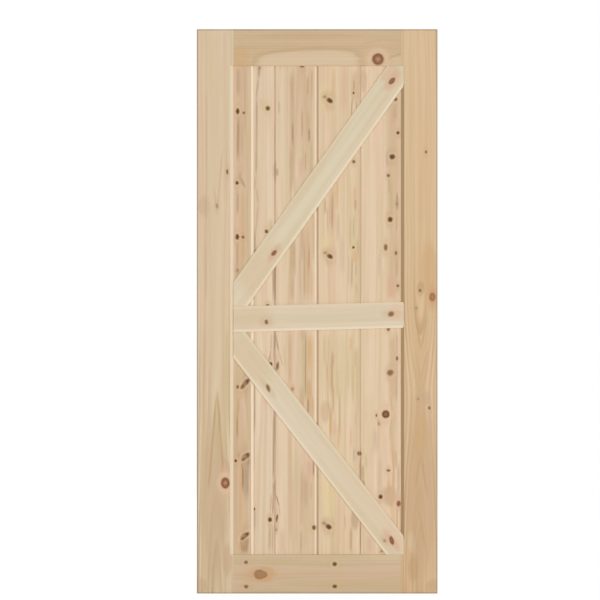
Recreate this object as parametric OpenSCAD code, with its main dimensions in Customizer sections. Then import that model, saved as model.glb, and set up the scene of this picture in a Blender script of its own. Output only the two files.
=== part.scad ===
// Barn door slab with a K-shaped overlay.
// Two stiles and two rails, stub-tenoned and dowelled, hold five upright tongue-and-groove planks.
// A middle rail and two braces lie on the planks and are screwed to them from behind.
// Millimetres. +Z is up, the front looks along -Y, the origin is the middle of the bottom edge.

/* [Door] */
// Width over the stiles
door_w = 910; // [760:1:1060]
// Height of the slab
door_h = 2134; // [1980:1:2300]
// Thickness of the frame
door_t = 35; // [34:0.5:42]

/* [Frame] */
// Width of each stile
stile_w = 138; // [110:1:160]
// Height of the top rail
top_rail_h = 138; // [128:1:180]
// Height of the bottom rail
bottom_rail_h = 147; // [128:1:200]
// Width of the stopped bevel on each stile, seen from the front
bevel_w = 12; // [4:0.5:16]
// Depth of the stopped bevel on each stile
bevel_d = 9; // [3:0.5:9]
// Depth of the panel groove in the stiles and rails
groove_d = 12; // [8:0.5:16]

/* [Planks] */
// Thickness of the planks
plank_t = 14; // [12:0.5:15]
// Place of the first seam, as a share of the panel opening
seam_1 = 0.122; // [0.09:0.002:0.13]
// Place of the second seam, as a share of the panel opening
seam_2 = 0.244; // [0.22:0.002:0.28]
// Place of the third seam, as a share of the panel opening
seam_3 = 0.497; // [0.44:0.002:0.54]
// Place of the fourth seam, as a share of the panel opening
seam_4 = 0.754; // [0.70:0.002:0.80]
// Width of a wide seam bevel
seam_wide = 10; // [5:0.5:12]
// Width of a middling seam bevel
seam_middle = 7; // [3:0.5:8]
// Width of a narrow seam bevel
seam_narrow = 1.5; // [1:0.25:3]
// Length of the tongues
tongue_l = 6; // [4:0.5:8]
// Open gap left at each seam for the wood to swell
seam_gap = 0.6; // [0.2:0.1:1.5]

/* [Middle rail and braces] */
// Height of the middle rail's section
middle_rail_h = 98; // [80:1:130]
// Height of the middle rail's centre above the bottom edge
middle_rail_z = 1045; // [980:1:1110]
// Rise of the middle rail from left to right, in degrees
middle_rail_tilt = 1.5; // [0:0.1:2]
// Width of the braces
brace_w = 96; // [80:1:115]
// Upper brace: how far its centre line meets the left stile above the middle rail
upper_brace_foot = 8.5; // [0:0.5:20]
// Upper brace: how far its centre line meets the right stile under the top rail
upper_brace_head = 8; // [0:0.5:20]
// Lower brace: how far its centre line meets the left stile under the middle rail
lower_brace_foot = 19; // [0:0.5:40]
// Lower brace: how far its centre line meets the right stile above the bottom rail
lower_brace_head = 5.5; // [0:0.5:20]
// How far the overlay boards lie below the face of the frame
overlay_set = 0.5; // [0:0.1:1.5]
// Width of the bevel on the overlay boards' long edges
overlay_bevel_w = 10; // [3:0.5:12]
// Depth of the bevel on the overlay boards' long edges
overlay_bevel_d = 2.5; // [1.5:0.5:6]

/* [Fixings] */
// Diameter of the corner dowels
dowel_d = 10; // [8:1:12]
// Length of the corner dowels
dowel_l = 110; // [70:2:130]
// Distance between the dowels of one joint
dowel_pitch = 40; // [24:1:44]
// Shank diameter of the screws
screw_d = 4; // [3:0.5:4.5]
// Length of the screws
screw_l = 21; // [18:0.5:21]

/* [Hidden] */
$fn = 48;

// frame
front = -door_t / 2;
in_x = door_w / 2 - stile_w;            // inner edge of a stile
open_w = 2 * in_x;
open_z0 = bottom_rail_h;                // panel opening
open_z1 = door_h - top_rail_h;
groove_t = plank_t + 0.3;               // panel groove, a loose fit for the planks
tenon_t = groove_t - 0.1;
tenon_l = groove_d - 0.5;
joint_gap = 0.2;                        // at the ends of the overlay boards

// planks
plank_front = -plank_t / 2;
plank_back = plank_t / 2;
plank_in = groove_d - 2;                // how far planks reach into the grooves
tongue_y0 = -1;
tongue_y1 = 3.5;
seams = [for (s = [seam_1, seam_2, seam_3, seam_4]) -in_x + s * open_w];
// bevel widths at each seam: on the plank left of it, on the plank right of it
seam_bevels = [[seam_wide, seam_narrow], [seam_narrow, seam_middle],
               [seam_middle, seam_middle], [seam_narrow, seam_middle - 1]];
plank_x0 = concat([-in_x - plank_in], [for (s = seams) s + seam_gap / 2]);
plank_x1 = concat([for (s = seams) s - seam_gap / 2], [in_x + plank_in]);
// middle of each plank's visible face
plank_mid = [for (i = [0:4]) (max(plank_x0[i], -in_x) + min(plank_x1[i], in_x)) / 2];

// overlay boards
overlay_front = front + overlay_set;
function middle_z(x) = middle_rail_z + x * tan(middle_rail_tilt);
middle_half = middle_rail_h / 2 / cos(middle_rail_tilt);
upper_l = middle_z(-in_x) + middle_half + upper_brace_foot;
upper_r = open_z1 - upper_brace_head;
lower_l = middle_z(-in_x) - middle_half - lower_brace_foot;
lower_r = open_z0 + lower_brace_head;
function upper_z(x) = upper_l + (upper_r - upper_l) * (x + in_x) / open_w;
function lower_z(x) = lower_l + (lower_r - lower_l) * (x + in_x) / open_w;

// fixings
dowel_fit = 0.1;
dowel_row = [-dowel_pitch, 0, dowel_pitch];
dowel_z = concat(
    [for (d = dowel_row) (bottom_rail_h - groove_d) / 2 + d],
    [for (d = dowel_row) door_h - (top_rail_h - groove_d) / 2 + d]);
screw_head_r = screw_d;                 // a countersunk head is twice the shank
screw_sink = 0.4;                       // below the back of the planks
screw_at = concat(
    [for (x = plank_mid, s = [-1, 1]) [x, middle_z(x) + s * middle_rail_h / 4]],
    [for (x = plank_mid) [x, upper_z(x)]],
    [for (x = plank_mid) [x, lower_z(x)]]);

stile_colour = [0.84, 0.77, 0.63];
rail_colour = [0.80, 0.71, 0.57];
plank_colours = [[0.87, 0.77, 0.64], [0.88, 0.80, 0.67], [0.88, 0.79, 0.66],
                 [0.89, 0.80, 0.68], [0.87, 0.75, 0.63]];
overlay_colour = [0.85, 0.79, 0.65];
dowel_colour = [0.78, 0.64, 0.47];
screw_colour = [0.72, 0.70, 0.62];

// ---- shapes used by several pieces ----

// A right-hand stile, with its panel groove, stopped bevel and dowel holes.
module stile() {
    k = 0.2;
    difference() {
        translate([in_x, front, 0]) cube([stile_w, door_t, door_h]);
        translate([in_x - 1, -groove_t / 2, -1]) cube([groove_d + 1, groove_t, door_h + 2]);
        translate([0, 0, open_z0]) linear_extrude(open_z1 - open_z0)
            polygon([[in_x - k * bevel_w, front + (1 + k) * bevel_d],
                     [in_x + (1 + k) * bevel_w, front - k * bevel_d],
                     [in_x - k * bevel_w, front - k * bevel_d]]);
        for (z = dowel_z) translate([in_x, 0, z]) dowel_hole();
    }
}

// A rail between the stiles: h tall from z0, with its groove on the edge at groove_z0.
module rail(z0, h, groove_z0, tenon_z0) {
    difference() {
        union() {
            translate([-in_x, front, z0]) cube([open_w, door_t, h]);
            translate([-in_x - tenon_l, -tenon_t / 2, tenon_z0])
                cube([open_w + 2 * tenon_l, tenon_t, h - groove_d]);
        }
        translate([-in_x - 1, -groove_t / 2, groove_z0]) cube([open_w + 2, groove_t, groove_d + 1]);
        for (z = dowel_z, s = [-1, 1]) if (z > z0 && z < z0 + h)
            translate([s * in_x, 0, z]) dowel_hole();
    }
}

// A hole for one corner dowel, centred on the joint line.
module dowel_hole() {
    rotate([0, 90, 0]) cylinder(d = dowel_d + dowel_fit, h = dowel_l + 4, center = true);
}

// One dowel with chamfered ends.
module dowel() {
    r = dowel_d / 2;
    c = 1.5;
    l = dowel_l / 2;
    rotate([0, 90, 0]) rotate_extrude()
        polygon([[0, -l], [r - c, -l], [r, -l + c], [r, l - c], [r - c, l], [0, l]]);
}

// Depth of a seam bevel of width w, which stops short of the tongue.
function bevel_depth(w) = min(w * 0.75, 4.5);

// One plank: number i from the left, counted from 0.
module plank(i) {
    x0 = plank_x0[i];
    x1 = plank_x1[i];
    back_ease = 1;
    groove_c = 0.15;
    left = i == 0
        ? [[x0, plank_back], [x0, plank_front]]
        : let (b = seam_bevels[i - 1][1])
          [[x0 + back_ease, plank_back], [x0, plank_back - back_ease],
           [x0, tongue_y1 + groove_c], [x0 + tongue_l + 0.5, tongue_y1 + groove_c],
           [x0 + tongue_l + 0.5, tongue_y0 - groove_c], [x0, tongue_y0 - groove_c],
           [x0, plank_front + bevel_depth(b)], [x0 + b, plank_front]];
    right = i == 4
        ? [[x1, plank_front], [x1, plank_back]]
        : let (b = seam_bevels[i][0])
          [[x1 - b, plank_front], [x1, plank_front + bevel_depth(b)],
           [x1, tongue_y0], [x1 + tongue_l, tongue_y0],
           [x1 + tongue_l, tongue_y1], [x1, tongue_y1],
           [x1, plank_back - back_ease], [x1 - back_ease, plank_back]];
    color(plank_colours[i]) difference() {
        translate([0, 0, open_z0 - plank_in])
            linear_extrude(open_z1 - open_z0 + 2 * plank_in)
                polygon(concat(left, right));
        for (p = screw_at) if (p[0] > x0 && p[0] < x1) screw_hole(p);
    }
}

// A long overlay board with bevelled edges, w wide, through [x, z] at an angle to the level.
module overlay_board(w, x, z, angle) {
    h = w / 2;
    translate([x, 0, z]) rotate([0, 90 - angle, 0]) linear_extrude(2 * door_h, center = true)
        polygon([[-h, plank_front], [-h, overlay_front + overlay_bevel_d],
                 [-h + overlay_bevel_w, overlay_front], [h - overlay_bevel_w, overlay_front],
                 [h, overlay_front + overlay_bevel_d], [h, plank_front]]);
}

// The space for overlay boards: square at the left stile, coped over the bevel of the right one.
module overlay_field() {
    lip = front + bevel_d;
    run = (lip - overlay_front) * bevel_w / bevel_d;
    translate([0, 0, open_z0 + joint_gap]) linear_extrude(open_z1 - open_z0 - 2 * joint_gap)
        polygon([[-in_x + joint_gap, plank_front], [in_x - joint_gap, plank_front],
                 [in_x - joint_gap, lip], [in_x - joint_gap + run, overlay_front],
                 [-in_x + joint_gap, overlay_front]]);
}

// All space above (side 1) or below (side -1) the middle rail.
module beside_middle_rail(side) {
    e = door_h;
    translate([0, 0, middle_rail_z]) rotate([0, -middle_rail_tilt, 0])
        translate([-e, -door_t, side > 0 ? middle_rail_h / 2 + joint_gap
                                         : -middle_rail_h / 2 - joint_gap - e])
            cube([2 * e, 2 * door_t, e]);
}

// Outline of a screw, turned about its axis: grow widens it, and more makes it longer.
module screw_body(grow, more) {
    r = screw_d / 2 + grow;
    hr = screw_head_r + grow;
    rim = 0.4;
    tip = 2.5;
    rotate_extrude()
        polygon([[0, more], [hr, more], [hr, -rim], [r, -rim - (hr - r)],
                 [r, -screw_l + tip - more], [0, -screw_l - more]]);
}

// A countersunk hole for the screw at p = [x, z].
module screw_hole(p) {
    translate([p[0], plank_back - screw_sink, p[1]]) rotate([-90, 0, 0]) screw_body(0.05, 0.5);
}

// One screw with a cross recess, at p = [x, z], its head on the back of the planks.
module screw(p) {
    slot = 1.0;
    translate([p[0], plank_back - screw_sink, p[1]]) rotate([-90, 0, 0]) difference() {
        screw_body(0, 0);
        for (a = [0, 90]) rotate([0, 0, a])
            translate([-screw_d * 0.55, -slot / 2, -1.4]) cube([screw_d * 1.1, slot, 2]);
    }
}

// ---- the pieces ----

module left_stile() { color(stile_colour) mirror([1, 0, 0]) stile(); }
module right_stile() { color(stile_colour) stile(); }
module top_rail() {
    color(rail_colour) rail(open_z1, top_rail_h, open_z1 - 1, open_z1 + groove_d);
}
module bottom_rail() {
    color(rail_colour) rail(0, bottom_rail_h, open_z0 - groove_d, 0);
}
module plank_1() { plank(0); }
module plank_2() { plank(1); }
module plank_3() { plank(2); }
module plank_4() { plank(3); }
module plank_5() { plank(4); }

module middle_rail() {
    color(overlay_colour) difference() {
        intersection() {
            overlay_board(middle_rail_h, 0, middle_rail_z, middle_rail_tilt);
            overlay_field();
        }
        for (p = screw_at) if (abs(p[1] - middle_z(p[0])) < middle_rail_h / 2) screw_hole(p);
    }
}

module upper_brace() {
    color(overlay_colour) difference() {
        intersection() {
            overlay_board(brace_w, 0, upper_z(0), atan2(upper_r - upper_l, open_w));
            overlay_field();
            beside_middle_rail(1);
        }
        for (x = plank_mid) screw_hole([x, upper_z(x)]);
    }
}

module lower_brace() {
    color(overlay_colour) difference() {
        intersection() {
            overlay_board(brace_w, 0, lower_z(0), atan2(lower_r - lower_l, open_w));
            overlay_field();
            beside_middle_rail(-1);
        }
        for (x = plank_mid) screw_hole([x, lower_z(x)]);
    }
}

module corner_dowels() {
    color(dowel_colour) for (z = dowel_z, s = [-1, 1]) translate([s * in_x, 0, z]) dowel();
}

module brace_screws() {
    color(screw_colour) for (p = screw_at) screw(p);
}

left_stile();
right_stile();
top_rail();
bottom_rail();
plank_1();
plank_2();
plank_3();
plank_4();
plank_5();
middle_rail();
upper_brace();
lower_brace();
corner_dowels();
brace_screws();
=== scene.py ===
import math

import bmesh
import bpy
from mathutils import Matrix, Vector


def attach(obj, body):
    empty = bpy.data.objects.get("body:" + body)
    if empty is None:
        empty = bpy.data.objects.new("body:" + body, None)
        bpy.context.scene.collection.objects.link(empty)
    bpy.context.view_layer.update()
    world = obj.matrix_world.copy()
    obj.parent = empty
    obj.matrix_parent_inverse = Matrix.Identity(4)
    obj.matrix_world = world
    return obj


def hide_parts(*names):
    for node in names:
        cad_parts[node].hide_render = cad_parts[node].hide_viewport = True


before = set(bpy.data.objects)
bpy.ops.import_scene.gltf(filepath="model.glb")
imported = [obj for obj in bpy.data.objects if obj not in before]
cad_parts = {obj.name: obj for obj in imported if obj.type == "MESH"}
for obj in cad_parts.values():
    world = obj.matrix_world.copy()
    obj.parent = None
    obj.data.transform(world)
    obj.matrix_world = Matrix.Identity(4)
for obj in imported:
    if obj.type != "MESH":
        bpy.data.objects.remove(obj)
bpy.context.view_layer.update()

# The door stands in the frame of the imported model, in metres: +Z up, front along -Y, origin at the
# middle of its bottom edge. Knots and streaks are placed by where they lie on the front, in pixels
# of a 600 by 600 picture that shows 3.78 mm to a pixel.
MM = 0.001
PX = 3.7817 * MM


def at(px, py):
    return (px - 317.2) * PX, (593.53 - py) * PX


def srgb(r, g, b):
    def lin(c):
        c /= 255.0
        return c / 12.92 if c <= 0.04045 else ((c + 0.055) / 1.055) ** 2.4
    return (lin(r), lin(g), lin(b), 1.0)


# ---------------------------------------------------------------- node helpers

class Tree:
    """Small helpers to write a shader as expressions."""

    def __init__(self, name):
        self.mat = bpy.data.materials.new(name)
        self.mat.use_nodes = True
        self.nt = self.mat.node_tree
        self.nt.nodes.clear()
        self.out = self.nt.nodes.new("ShaderNodeOutputMaterial")
        self.bsdf = self.nt.nodes.new("ShaderNodeBsdfPrincipled")
        self.nt.links.new(self.bsdf.outputs["BSDF"], self.out.inputs["Surface"])
        self.coord = self.nt.nodes.new("ShaderNodeTexCoord")

    def put(self, socket, value):
        if isinstance(value, bpy.types.NodeSocket):
            self.nt.links.new(value, socket)
        else:
            socket.default_value = value

    def math(self, op, a, b=None, c=None, clamp=False):
        n = self.nt.nodes.new("ShaderNodeMath")
        n.operation = op
        n.use_clamp = clamp
        for i, v in enumerate((a, b, c)):
            if v is not None:
                self.put(n.inputs[i], v)
        return n.outputs[0]

    def add(self, a, b):
        return self.math("ADD", a, b)

    def sub(self, a, b):
        return self.math("SUBTRACT", a, b)

    def mul(self, a, b):
        return self.math("MULTIPLY", a, b)

    def mad(self, a, b, c):
        return self.math("MULTIPLY_ADD", a, b, c)

    def absolute(self, a):
        return self.math("ABSOLUTE", a)

    def vec(self, op, a, b=None):
        n = self.nt.nodes.new("ShaderNodeVectorMath")
        n.operation = op
        self.put(n.inputs[0], a)
        if b is not None:
            self.put(n.inputs[1], b)
        return n.outputs["Value"] if op in ("DOT_PRODUCT", "LENGTH") else n.outputs["Vector"]

    def combine(self, x, y, z):
        n = self.nt.nodes.new("ShaderNodeCombineXYZ")
        for i, v in enumerate((x, y, z)):
            self.put(n.inputs[i], v)
        return n.outputs[0]

    def noise(self, vector, stretch, seed, detail=2.0, rough=0.5):
        """Smooth noise about 0.5; stretch is how many cells there are to a metre along u, v and w."""
        m = self.nt.nodes.new("ShaderNodeMapping")
        self.put(m.inputs["Vector"], vector)
        m.inputs["Location"].default_value = (seed * 7.31, seed * 3.77, seed * 5.13)
        m.inputs["Scale"].default_value = stretch
        n = self.nt.nodes.new("ShaderNodeTexNoise")
        self.put(n.inputs["Vector"], m.outputs[0])
        n.inputs["Scale"].default_value = 1.0
        n.inputs["Detail"].default_value = detail
        n.inputs["Roughness"].default_value = rough
        return n.outputs[0]

    def white(self, w):
        n = self.nt.nodes.new("ShaderNodeTexWhiteNoise")
        n.noise_dimensions = "1D"
        self.put(n.inputs["W"], w)
        return n.outputs["Value"]

    def span(self, value, lo, hi, out_lo=0.0, out_hi=1.0):
        """Smooth step of value from lo to hi."""
        n = self.nt.nodes.new("ShaderNodeMapRange")
        n.interpolation_type = "SMOOTHSTEP"
        self.put(n.inputs[0], value)
        for i, v in enumerate((lo, hi, out_lo, out_hi)):
            self.put(n.inputs[i + 1], v)
        return n.outputs[0]

    def mix(self, fac, a, b, mode="MIX"):
        n = self.nt.nodes.new("ShaderNodeMix")
        n.data_type = "RGBA"
        n.blend_type = mode
        n.clamp_factor = True
        self.put(n.inputs[0], fac)
        self.put(n.inputs[6], a)
        self.put(n.inputs[7], b)
        return n.outputs[2]

    def ramp(self, fac, stops):
        n = self.nt.nodes.new("ShaderNodeValToRGB")
        self.put(n.inputs[0], fac)
        e = n.color_ramp.elements
        e[0].position, e[0].color = stops[0]
        e[1].position, e[1].color = stops[-1]
        for p, c in stops[1:-1]:
            e.new(p).color = c
        return n.outputs[0]

    def shift(self, vector, loc, turn, size):
        """vector seen from a place, turned about w and measured in size."""
        n = self.nt.nodes.new("ShaderNodeMapping")
        n.vector_type = "TEXTURE"
        self.put(n.inputs["Vector"], vector)
        n.inputs["Location"].default_value = loc
        n.inputs["Rotation"].default_value = (0.0, 0.0, turn)
        n.inputs["Scale"].default_value = size
        return n.outputs[0]


# ---------------------------------------------------------------- pine

# Sorts of knot: colours from the middle to the rim, the stain in the grain round it and its strength,
# how solid the knot is, how soft its edge is, and how pale the thin ring just outside it is.
KNOTS = {
    "dark": dict(stops=[(0.0, srgb(92, 60, 14)), (0.5, srgb(98, 66, 22)), (0.8, srgb(112, 80, 38)), (1.0, srgb(140, 104, 60))],
                 stain=srgb(196, 158, 116), stain_k=0.48, solid=1.0, soft=0.34, pale=0.18),
    "olive": dict(stops=[(0.0, srgb(98, 74, 24)), (0.6, srgb(112, 88, 38)), (1.0, srgb(150, 122, 72))],
                  stain=srgb(206, 174, 124), stain_k=0.48, solid=1.0, soft=0.36, pale=0.15),
    "brown": dict(stops=[(0.0, srgb(134, 100, 60)), (0.6, srgb(140, 106, 66)), (1.0, srgb(162, 128, 90))],
                  stain=srgb(202, 166, 128), stain_k=0.45, solid=1.0, soft=0.36, pale=0.10),
    "red": dict(stops=[(0.0, srgb(152, 104, 68)), (0.45, srgb(138, 92, 56)), (0.85, srgb(126, 80, 46)), (1.0, srgb(160, 114, 78))],
                stain=srgb(208, 160, 126), stain_k=0.60, solid=0.98, soft=0.30, pale=0.08),
    "ring": dict(stops=[(0.0, srgb(198, 150, 114)), (0.22, srgb(178, 127, 89)), (0.50, srgb(156, 104, 68)), (0.80, srgb(124, 78, 46)), (1.0, srgb(144, 98, 66))],
                 stain=srgb(220, 178, 144), stain_k=0.50, solid=1.0, soft=0.20, pale=0.20),
    "eye": dict(stops=[(0.0, srgb(150, 106, 70)), (0.40, srgb(134, 90, 54)), (0.74, srgb(96, 58, 26)), (1.0, srgb(126, 86, 50))],
                stain=srgb(216, 172, 138), stain_k=0.60, solid=1.0, soft=0.22, pale=0.20),
    "rust": dict(stops=[(0.0, srgb(182, 130, 90)), (0.4, srgb(164, 112, 72)), (0.75, srgb(150, 100, 60)), (1.0, srgb(168, 122, 80))],
                 stain=srgb(204, 156, 108), stain_k=0.70, solid=0.95, soft=0.32, pale=0.0),
    "tan": dict(stops=[(0.0, srgb(174, 132, 92)), (0.5, srgb(170, 128, 88)), (0.85, srgb(164, 122, 80)), (1.0, srgb(178, 138, 98))],
                stain=srgb(206, 166, 122), stain_k=0.60, solid=1.0, soft=0.24, pale=0.0),
    "soft": dict(stops=[(0.0, srgb(150, 118, 80)), (0.6, srgb(160, 128, 92)), (1.0, srgb(180, 148, 112))],
                 stain=srgb(196, 164, 126), stain_k=0.35, solid=0.75, soft=0.5, pale=0.0),
}


def pine(name, origin, along, across, early, late, seed, ring=0.0055, pith=(0.0, 0.045), taper=0.0,
         bow=0.012, wander=0.010, contrast=0.5, bands=None, tints=(), knots=(), streaks=(), patches=(),
         bevel_highlight_shade=(), gloss=0.62, fibre=0.08, outer=False, rises=(), calm=()):
    """A board of bare sanded pine, solid all through.

    u runs along the grain, v across the face and w through the thickness. The growth rings lie round a
    pith line that runs beside or behind the board and wanders a little, so that their section by the
    faces, edges and ends gives straight lines, arches or end grain. The grain flows round the knots.

    knots are (px, py, size across the grain, size along it, sort, turn in degrees), streaks are
    (px, py, px, py, width, colour, strength) and patches (px, py, half width, half height, colour, strength),
    all in picture pixels; two more values make a patch a flat tongue with a line of that strength round it, and
    with that slope. Between the heights py and
    py of a rise the face climbs away from the pith, which gives arches, and from the first py of a calm to
    the second the rings fade to that strength. The bevel tones paint highlight and shade onto bevels by the side
    they face, a colour and its strength for each side, and outer darkens the colour a little along the outer corners of
    the frame.
    """
    t = Tree(name)
    ox, oz = origin

    def uv(px, py):
        x, z = at(px, py)
        p = Vector((x - ox, 0.0, z - oz))
        return p.dot(Vector(along)), p.dot(Vector(across))

    spot = t.coord.outputs["Object"]
    place = t.vec("SUBTRACT", spot, (ox, 0.0, oz))
    u = t.vec("DOT_PRODUCT", place, along)
    v = t.vec("DOT_PRODUCT", place, across)
    w = t.vec("DOT_PRODUCT", place, (0.0, 1.0, 0.0))
    local = t.combine(u, v, w)

    # ---- knots: how far each place is from the nearest of each sort, and how they part the grain
    lumpy = t.noise(local, (150.0, 150.0, 40.0), seed + 11.0, 1.0)
    lumps = t.sub(lumpy, 0.5)
    uneven = t.vec("ADD", local, t.combine(t.mul(lumps, 0.0045), t.mul(lumps, -0.0045), 0.0))
    near, around = {}, {}
    parted = None
    for k in knots:
        px, py, wide, tall = k[:4]
        sort = k[4] if len(k) > 4 else "dark"
        turn = math.radians(k[5]) if len(k) > 5 else 0.0
        ku, kv = uv(px, py)
        su, sv = tall * PX / 2, wide * PX / 2
        d = t.vec("LENGTH", t.shift(uneven, (ku, kv, 0.0), turn, (su, sv, 1000.0)))
        near[sort] = d if sort not in near else t.math("MINIMUM", near[sort], d)
        reach = max(su, sv, 0.005)
        e = t.vec("LENGTH", t.shift(local, (ku, kv, 0.0), 0.0, (reach * 4.2 + 0.004, sv * 2.4 + 0.004, 1000.0)))
        around[sort] = e if sort not in around else t.math("MINIMUM", around[sort], e)
        g = t.span(e, 1.0, 0.0, 0.0, 0.78 if sort != "soft" else 0.5)
        parted = t.mul(g, t.sub(v, kv)) if parted is None else t.mad(g, t.sub(v, kv), parted)

    # ---- growth rings
    slow = t.sub(t.noise(local, (1.3, 5.0, 5.0), seed, 2.0), 0.5)
    quick = t.sub(t.noise(local, (7.0, 40.0, 40.0), seed + 1.0, 2.0), 0.5)
    vk = v if parted is None else t.sub(v, parted)
    vw = t.mad(quick, wander * 0.35, t.mad(slow, wander * 2.0, vk))
    vs = t.mad(quick, 0.0030, t.mad(slow, 0.0030, vk))
    dv = t.sub(vw, pith[0])
    sway = t.noise(t.combine(u, 0.0, 0.0), (1.6, 1.0, 1.0), seed + 2.0, 1.0)
    dw = t.mad(u, taper, t.add(w, pith[1]))
    dw = t.mad(t.sub(sway, 0.5), bow * 2.0, dw)
    for low, high, climb in rises:
        dw = t.add(dw, t.span(u, uv(317.2, low)[0], uv(317.2, high)[0], 0.0, climb))
    radius = t.math("SQRT", t.mad(dv, dv, t.mul(dw, dw)))
    phase = t.mul(radius, 1.0 / ring)
    cell = t.math("FLOOR", phase)
    f = t.math("FRACT", phase)
    year = t.white(cell)
    latewood = t.mul(t.span(f, 0.15, 0.80), t.span(f, 1.0, 0.82))
    vivid = t.noise(local, (1.5, 14.0, 14.0), seed + 3.0, 1.0)
    strength = t.mul(t.mad(year, 0.9, 0.25), t.span(vivid, 0.25, 0.75, 0.35, 1.0))
    for first, second, k in calm:
        lo, hi = uv(317.2, first)[0], uv(317.2, second)[0]
        strength = t.mul(strength, t.span(u, lo, hi, 1.0, k) if lo < hi else t.span(u, hi, lo, k, 1.0))
    colour = t.mix(t.mul(t.mul(latewood, strength), contrast), early, late)

    # ---- broad bands of denser, darker and of paler years
    if bands:
        dark, dark_k, pale, pale_k, cells = bands
        years = t.noise(t.combine(u, radius, 0.0), (0.55, cells, 1.0), seed + 7.0, 2.0, 0.6)
        colour = t.mix(t.span(years, 0.50, 0.72, 0.0, dark_k), colour, dark)
        colour = t.mix(t.span(years, 0.50, 0.30, 0.0, pale_k), colour, pale)

    # ---- broad warm, pale and olive patches, long along the grain
    for i, (tint, k, cells) in enumerate(tints):
        patch = t.noise(t.combine(u, vw, w), cells, seed + 20.0 + i, 2.0)
        colour = t.mix(t.span(patch, 0.46, 0.68, 0.0, k), colour, tint)
    for px, py, rx, ry, tint, k, *line in patches:
        pu, pv = uv(px, py)
        half = (abs(along[0]) * rx + abs(along[2]) * ry, abs(across[0]) * rx + abs(across[2]) * ry)
        d = t.vec("LENGTH", t.shift(t.combine(u, vs, 0.0), (pu, pv, 0.0), 0.0, (half[0] * PX, half[1] * PX, 1000.0)))
        if line:
            far = t.mul(t.absolute(t.sub(u, pu)), 1.0 / (half[0] * PX))
            high = t.mul(t.absolute(t.mad(t.sub(u, pu), -line[1], t.sub(vs, pv))), 1.0 / (half[1] * PX))
            d = t.math("POWER", t.add(t.math("POWER", far, 4.0), t.math("POWER", high, 4.0)), 0.25)
            d = t.mad(quick, 0.14, t.mad(slow, 0.30, d))
            colour = t.mix(t.span(d, 1.10, 0.82, 0.0, k), colour, tint)
            edge = t.mul(t.span(d, 0.93, 1.01), t.span(d, 1.15, 1.02, 0.0, line[0]))
            colour = t.mix(edge, colour, srgb(184, 158, 114))
            continue
        d = t.mad(quick, 0.5, t.mad(slow, 0.4, d))
        colour = t.mix(t.span(d, 1.15, 0.55, 0.0, k), colour, tint)

    # ---- streaks
    uneven_k = t.noise(local, (5.0, 60.0, 10.0), seed + 8.0, 2.0)
    fade_k = t.span(uneven_k, 0.25, 0.60, 0.55, 1.0)
    for x0, y0, x1, y1, width, tint, k in streaks:
        (u0, v0), (u1, v1) = sorted((uv(x0, y0), uv(x1, y1)))
        slope = (v1 - v0) / (u1 - u0)
        off = t.add(t.mad(u, -slope, vs), slope * u0 - v0)
        half = width * PX / 2
        band = t.span(t.absolute(off), half * 1.35, half * 0.35)
        fade = min(0.05, (u1 - u0) * 0.3)
        body = t.mul(t.span(u, u0 - fade * 0.4, u0 + fade), t.span(u, u1 + fade * 0.4, u1 - fade))
        colour = t.mix(t.mul(t.mul(t.mul(band, body), fade_k), k), colour, tint)

    # ---- fine fibre and resin lines
    hair = t.noise(t.combine(u, vw, w), (11.0, 420.0, 420.0), seed + 5.0, 2.0, 0.6)
    hair2 = t.noise(t.combine(u, vw, w), (4.0, 130.0, 130.0), seed + 6.0, 2.0, 0.6)
    tone = t.mad(t.sub(hair, 0.5), fibre, 1.0)
    tone = t.mad(t.sub(hair2, 0.5), fibre * 1.3, tone)
    colour = t.mix(1.0, colour, t.combine(tone, tone, tone), "MULTIPLY")
    duct = t.noise(t.combine(u, vw, w), (55.0, 900.0, 900.0), seed + 9.0, 1.0)
    colour = t.mix(t.span(duct, 0.70, 0.80, 0.0, 0.30), colour, srgb(150, 118, 84))

    # ---- knots over the grain
    knot_mask = None
    for sort, d in near.items():
        look = KNOTS[sort]
        colour = t.mix(t.span(around[sort], 0.95, 0.20, 0.0, look["stain_k"]), colour, look["stain"])
        if look["pale"]:
            rim = t.mul(t.span(d, 2.3, 1.6), t.span(d, 1.0, 1.45, 0.0, look["pale"]))
            colour = t.mix(rim, colour, srgb(238, 214, 184))
        inside = t.span(d, 1.0 + look["soft"], 1.0 - look["soft"], 0.0, look["solid"])
        heart = t.ramp(d, look["stops"])
        growth = t.math("FRACT", t.mul(d, 3.5))
        heart = t.mix(t.span(growth, 0.3, 1.0, 0.0, 0.14), heart, srgb(70, 44, 24))
        colour = t.mix(inside, colour, heart)
        knot_mask = inside if knot_mask is None else t.math("MAXIMUM", knot_mask, inside)

    # ---- end grain is darker, and bevels get painted highlight and shade by the side they face
    normal = t.coord.outputs["Normal"]
    end = t.span(t.absolute(t.vec("DOT_PRODUCT", normal, along)), 0.55, 0.85)
    colour = t.mix(t.mul(end, 0.55), colour, t.mix(1.0, colour, srgb(206, 184, 156), "MULTIPLY"))
    facing = t.vec("DOT_PRODUCT", normal, (0.0, -1.0, 0.0))
    bevel = t.mul(t.span(facing, 0.992, 0.974), t.span(facing, 0.30, 0.60))
    if knot_mask is not None:
        bevel = t.mul(bevel, t.mad(knot_mask, -0.6, 1.0))
    # painted highlight and shade: each bevel takes the given colour by the side it faces
    for toward, tint, k in bevel_highlight_shade:
        side = t.span(t.vec("DOT_PRODUCT", normal, toward), 0.03, 0.12, 0.0, k)
        colour = t.mix(t.mul(bevel, side), colour, tint)
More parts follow.
